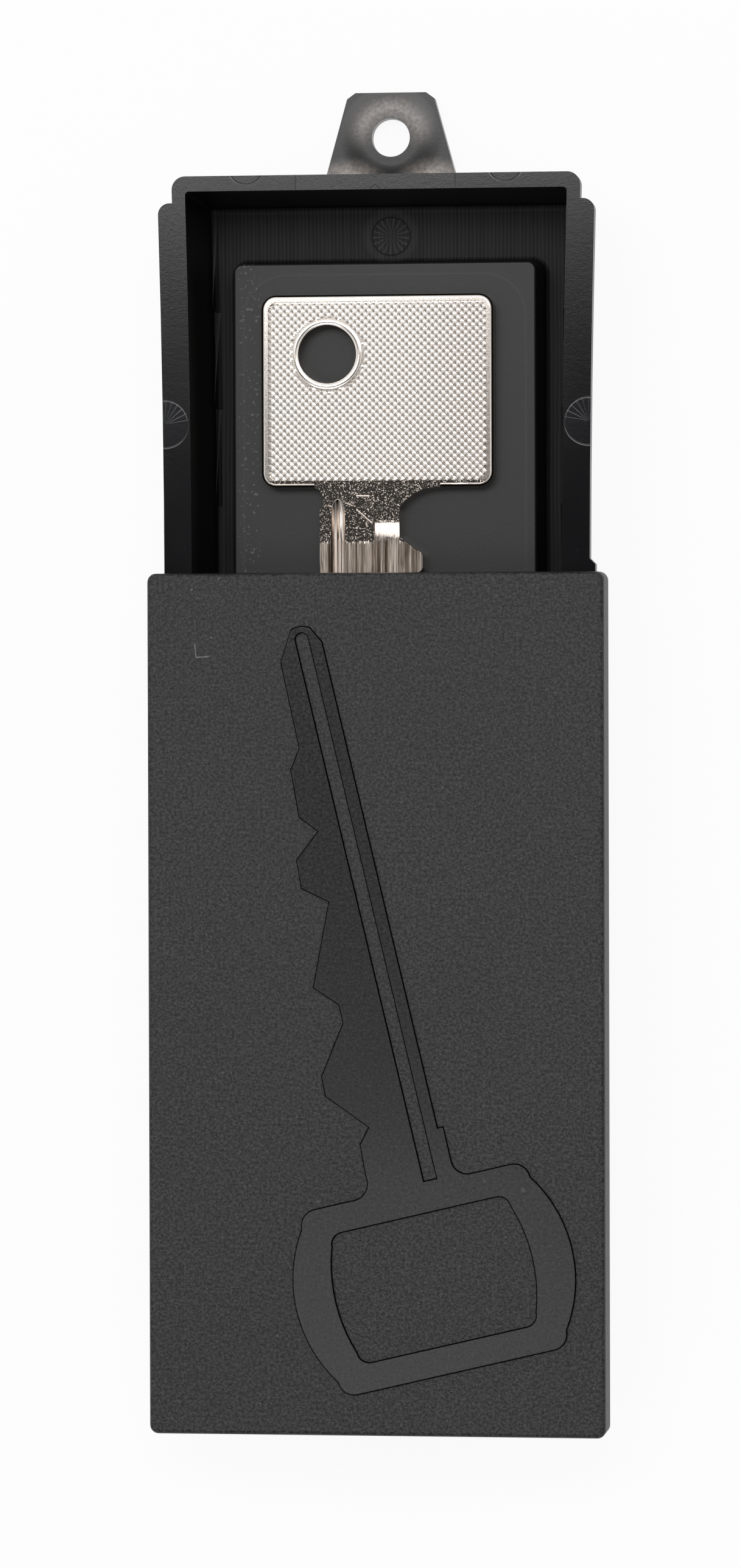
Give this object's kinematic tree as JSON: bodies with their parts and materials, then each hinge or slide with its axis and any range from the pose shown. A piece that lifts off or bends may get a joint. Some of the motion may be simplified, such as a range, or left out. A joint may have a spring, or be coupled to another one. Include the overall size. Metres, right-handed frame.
{
  "type": "magnetic key holder box",
  "caption": "Shallow plastic box with a rail-guided sliding lid, magnets recessed in its back, a hang tab with a hole, and a platform inside that carries a spare key.",
  "frame": {"origin": "middle of the magnet face on the tray's back, which is the face that holds the box to a steel surface", "axes": "+Z out of the lid's face, away from the surface that the box is stuck to; +Y along the box towards the hang tab; +X to the right seen from the lid's side"},
  "size_m": [0.0482, 0.1421, 0.0181],
  "materials": {
    "tray_plastic": "black moulded plastic, satin, with a smoother rim",
    "lid_plastic": "black moulded plastic with a fine spark-eroded texture",
    "keeper_steel": "bare rolled steel sheet",
    "ferrite": "ground sintered ferrite, dark grey",
    "key_nickel": "nickel-plated brass"
  },
  "bodies": {
    "box": {"tray": "tray_plastic", "keeper_plate": "keeper_steel", "magnet_block_upper": "ferrite", "magnet_block_middle": "ferrite", "magnet_block_lower": "ferrite"},
    "lid": {"lid": "lid_plastic"},
    "key": {"spare_key": "key_nickel"}
  },
  "joints": [
    {"name": "lid_slide", "type": "slide", "parent": "box", "child": "lid", "axis": [0, -1, 0], "range_m": [-0.0417, 0.0445]},
    {"name": "key_lift", "type": "slide", "parent": "box", "child": "key", "axis": [0, 0, 1], "range_m": [0, 0.0055]}
  ]
}
